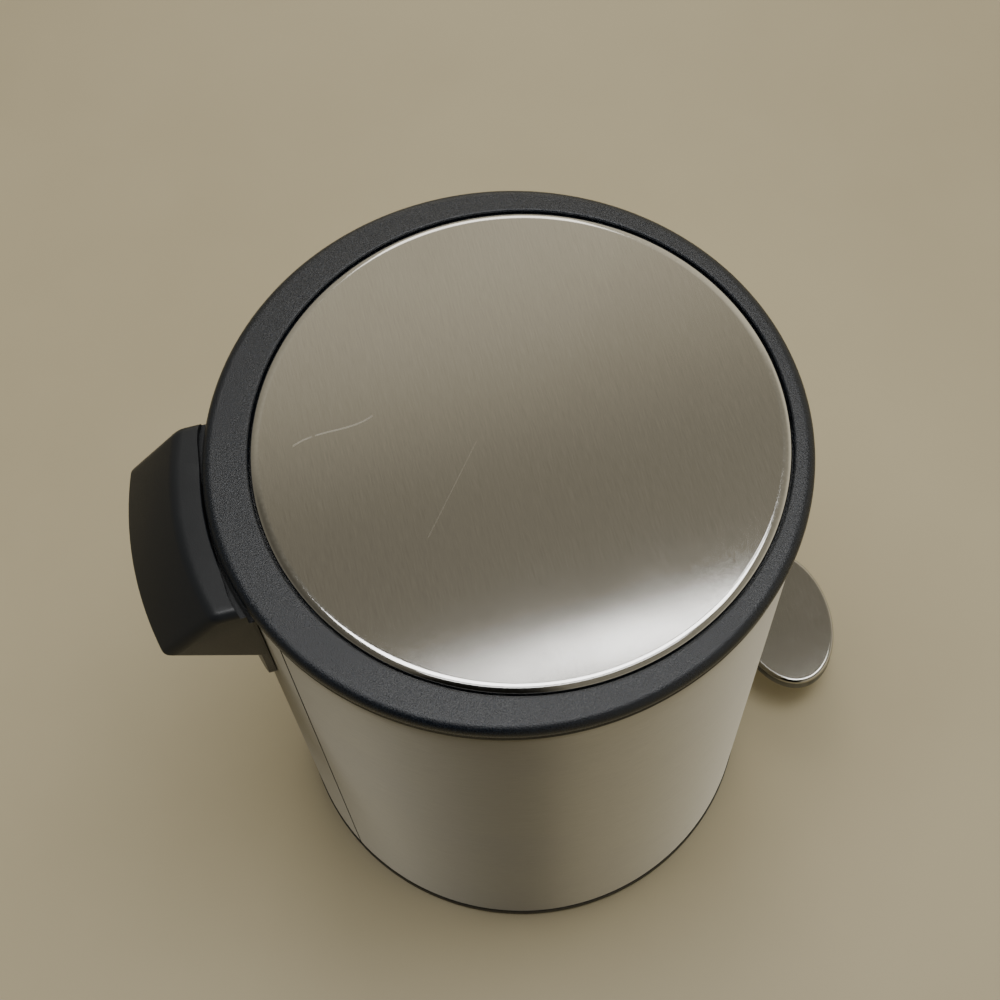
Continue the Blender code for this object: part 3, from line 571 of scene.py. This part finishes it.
def make_pedal():
    half_w, half_d, y0 = 35.0, 22.9, -153.6 + 22.9 - PIVOT[0]
    low, top = 5.8, 7.0
    # the pad's edge: how far out of the outline, and the height
    edge = fillet([(-10, top), (-1.9, top), (0, top, 1.8), (0, top - 8.0), (-1.2, top - 8.0),
                   (-1.2, low, 0.6), (-10, low)], 6)
    profile = [(-half_d, top)] + edge + [(-half_d, low)]
    loops = []
    for out, z in profile:
        share = max(0.0, (half_d + out) / half_d)
        w = half_w + out if out > -9.9 else (half_w - 10) * share / (1 - 10 / half_d)
        d = half_d + out
        loops.append([(w * cos(t), y0 + d * sin(t), z) for t in circle(160)])
    obj = piece("foot_pedal", finish_mesh("foot_pedal", loft(loops, around=True)), "pedal", pedal_steel,
                ["pedal_pad"])
    carve(obj, [barrel(0, y0 + 9, 2.0, 0.2, 6.2), barrel(0, y0 - 7, 2.0, 0.2, 6.2)], "UNION")
    carve(obj, [block((-9.5, y0 + 10, -6), (9.5, y0 + 30, low))])
    lay_uv(obj.data, level_uv)
    # the pad's sides are rougher than its top, and painted darker: painted shade for the shadow under the
    # pad that they reflect
    obj.data.materials.append(skirt_painted_shade.mat)
    for poly in obj.data.polygons:
        if poly.center.z < CENTRE.z + (top - 1.7) * MM:
            poly.material_index = 1
    pedal_place(obj.data)


for maker in (make_shell, make_collar, make_foot, make_grip, make_ring, make_disc, make_pedal):
    maker()

# ---- finish of the CAD nodes that stay ----------------------------------------------------
by_look = {
    "hinge_bracket rod_guide pedal_bracket": foot_plastic,
    "lid_liner": liner_plastic,
    "inner_bucket bail_grip rod_clip_top rod_clip_low": bucket_plastic,
    "foot_pad_1 foot_pad_2 foot_pad_3 foot_pad_4 lid_bumper_1 lid_bumper_2 lid_bumper_3": rubber,
}
look_of = {name: look for names, look in by_look.items() for name in names.split()}
for name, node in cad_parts.items():
    node.data.materials.clear()
    node.data.materials.append(look_of.get(name, zinc).mat)

# ---- floor, light and camera -------------------------------------------------------------
floor_look = Look("pale_floor", (0.56, 0.49, 0.36), Roughness=0.55)
floor_look.clouded(floor_look.noise((3, 3, 3), 5.0, 0.6), (0.485, 0.425, 0.275), (0.53, 0.465, 0.305))
bm = bmesh.new()
bmesh.ops.create_grid(bm, x_segments=1, y_segments=1, size=6000)
floor = piece("floor", finish_mesh("floor", bm), None, floor_look)


def sky():
    """A plain room: warm pale walls, lighter beyond the bin, a duller ceiling overhead."""
    world = bpy.data.worlds.new("studio")
    bpy.context.scene.world = world
    world.use_nodes = True
    tree = world.node_tree
    back = tree.nodes["Background"]

    def math(operation, a, b=0.0):
        return add_node(tree, "Math", {0: a, 1: b}, operation=operation).outputs[0]

    def span(value, low, high, to_low, to_high, kind="SMOOTHSTEP"):
        values = {"Value": value, "From Min": low, "From Max": high, "To Min": to_low, "To Max": to_high}
        return add_node(tree, "MapRange", values, interpolation_type=kind).outputs[0]
    ways = add_node(tree, "TexCoord").outputs["Generated"]
    x, y, z = add_node(tree, "SeparateXYZ", {0: ways}).outputs
    wall = math("MAXIMUM", span(z, 0.30, 0.70, 0.58, 0.25), span(x, 0.42, 0.57, 0.25, 0.62))
    # a dark part of the room behind the camera, by its direction round the bin and its half width
    dark_at, dark_core, dark_edge = radians(152), radians(16), radians(34)
    off = math("ABSOLUTE", math("SUBTRACT", math("ARCTAN2", y, x), dark_at))
    level = math("MULTIPLY", wall, span(off, dark_core, dark_edge, 0.04, 1.0))
    level = math("MULTIPLY", level, span(y, -0.8, 0.8, 1.5, 0.4, "LINEAR"))
    tree.links.new(level, back.inputs["Strength"])
    back.inputs["Color"].default_value = (1.0, 0.91, 0.70, 1)


def panel(name, middle, size, strength, aim=None, colour=(1, 1, 1)):
    """A softbox facing straight down, or toward a point; middle, size and aim in metres. strength is
    its brightness, which stays the same when its size is changed."""
    light = bpy.data.lights.new(name, "AREA")
    light.shape = "RECTANGLE"
    light.size, light.size_y = size
    light.energy = strength * size[0] * size[1] * pi
    light.color = colour
    obj = bpy.data.objects.new(name, light)
    obj.location = middle
    if aim:
        obj.rotation_euler = (Vector(aim) - Vector(middle)).to_track_quat("-Z", "Y").to_euler()
    bpy.context.scene.collection.objects.link(obj)


sky()
panel("strip_light", (0.285, -0.235, 1.3), (0.040, 0.42), 6.5)
panel("softbox", (0.03, -0.06, 1.5), (0.40, 1.24), 7.0)
panel("rear_strip", (-0.52, 0.0, 2.4), (0.15, 1.8), 4.2)
panel("far_softbox", (2.3, -0.35, 1.8), (1.1, 1.1), 2.8, (0, 0, 0.1), (1.0, 0.95, 0.86))

heading, pitch, roll = radians(-10.68), radians(64.16), radians(-3.99)
ahead = Vector((cos(heading) * cos(pitch), sin(heading) * cos(pitch), -sin(pitch)))
right = Vector((sin(heading), -cos(heading), 0))
up = right.cross(ahead)
tilted = cos(roll) * right + sin(roll) * up
above = cos(roll) * up - sin(roll) * right
camera = bpy.data.cameras.new("camera")
camera.lens, camera.sensor_width = 59.76, 36.0
camera.clip_start, camera.clip_end = 0.05, 50
eye = bpy.data.objects.new("camera", camera)
bpy.context.scene.collection.objects.link(eye)
turn = Matrix((tilted, above, -ahead)).transposed().to_4x4()
stand = CENTRE + Vector((-0.2605, 0.0530, 0.7762))
eye.matrix_world = Matrix.Translation(stand) @ turn
bpy.context.scene.camera = eye
